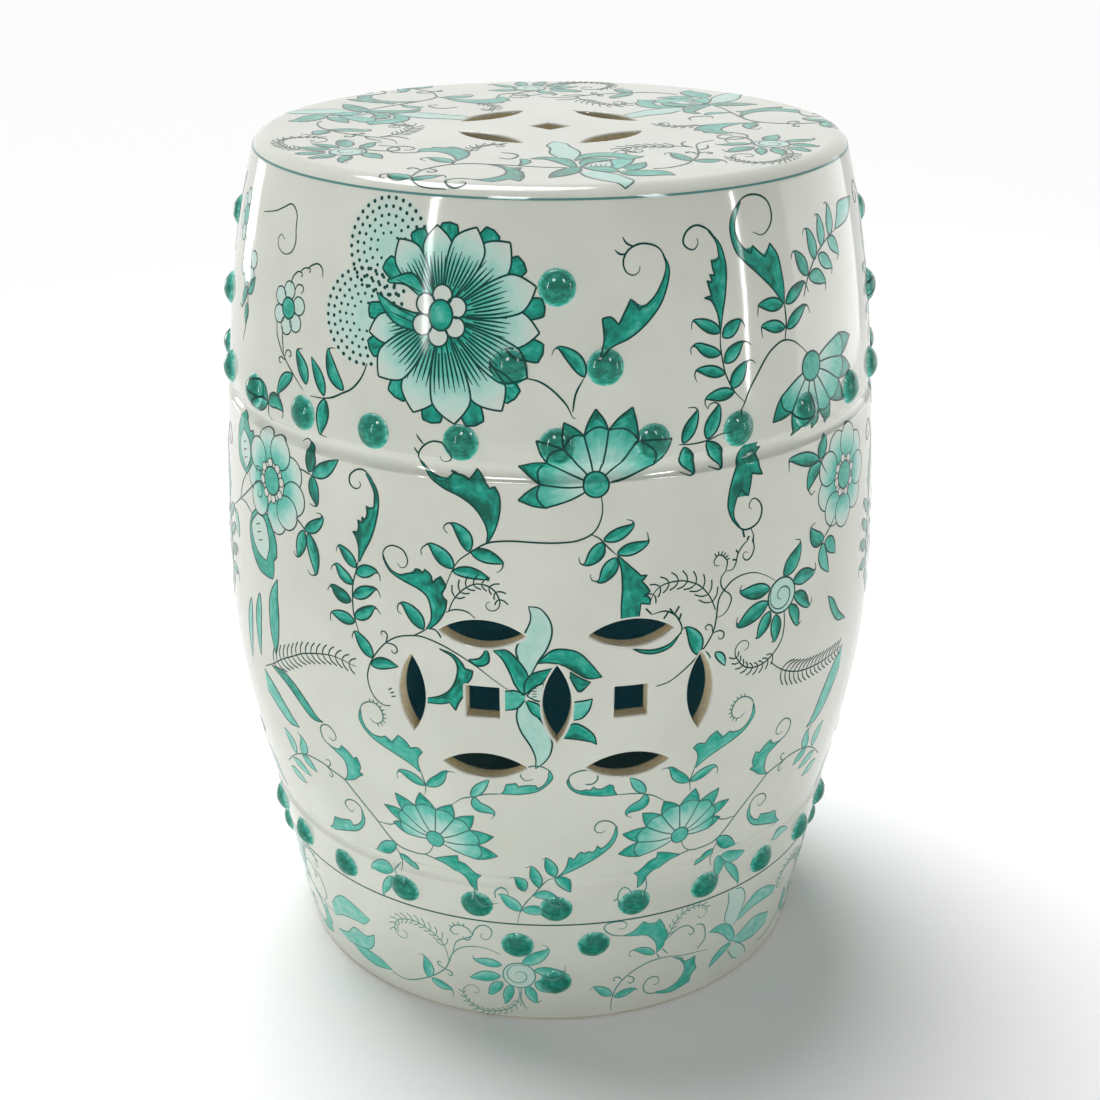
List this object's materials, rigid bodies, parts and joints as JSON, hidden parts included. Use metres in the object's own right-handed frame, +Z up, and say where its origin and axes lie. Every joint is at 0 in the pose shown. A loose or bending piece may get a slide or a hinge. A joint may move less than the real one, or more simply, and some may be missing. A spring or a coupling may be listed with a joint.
{
  "type": "garden stool",
  "caption": "Barrel-shaped glazed ceramic garden stool with a flat pierced seat, pierced coin motifs, domed bosses and painted green flowers, hollow and open below.",
  "frame": {"origin": "centre of the foot, on the floor", "axes": "+Z up along the drum's axis; -Y towards the front with a pair of pierced coins; +X to the right"},
  "size_m": [0.3583, 0.3584, 0.457],
  "materials": {
    "white_glaze": "clear gloss glaze over a white clay body with painted green ornament",
    "green_glaze": "gloss green enamel over domed bosses"
  },
  "bodies": {
    "root": {"seat_top": "white_glaze", "shoulder_wall": "white_glaze", "belly_wall": "white_glaze", "foot_wall": "white_glaze", "upper_boss_row": "green_glaze", "lower_boss_row": "green_glaze", "front_upper_bosses": "green_glaze", "front_lower_bosses": "green_glaze", "right_upper_bosses": "green_glaze", "right_lower_bosses": "green_glaze", "back_upper_bosses": "green_glaze", "back_lower_bosses": "green_glaze", "left_upper_bosses": "green_glaze", "left_lower_bosses": "green_glaze"}
  },
  "joints": []
}
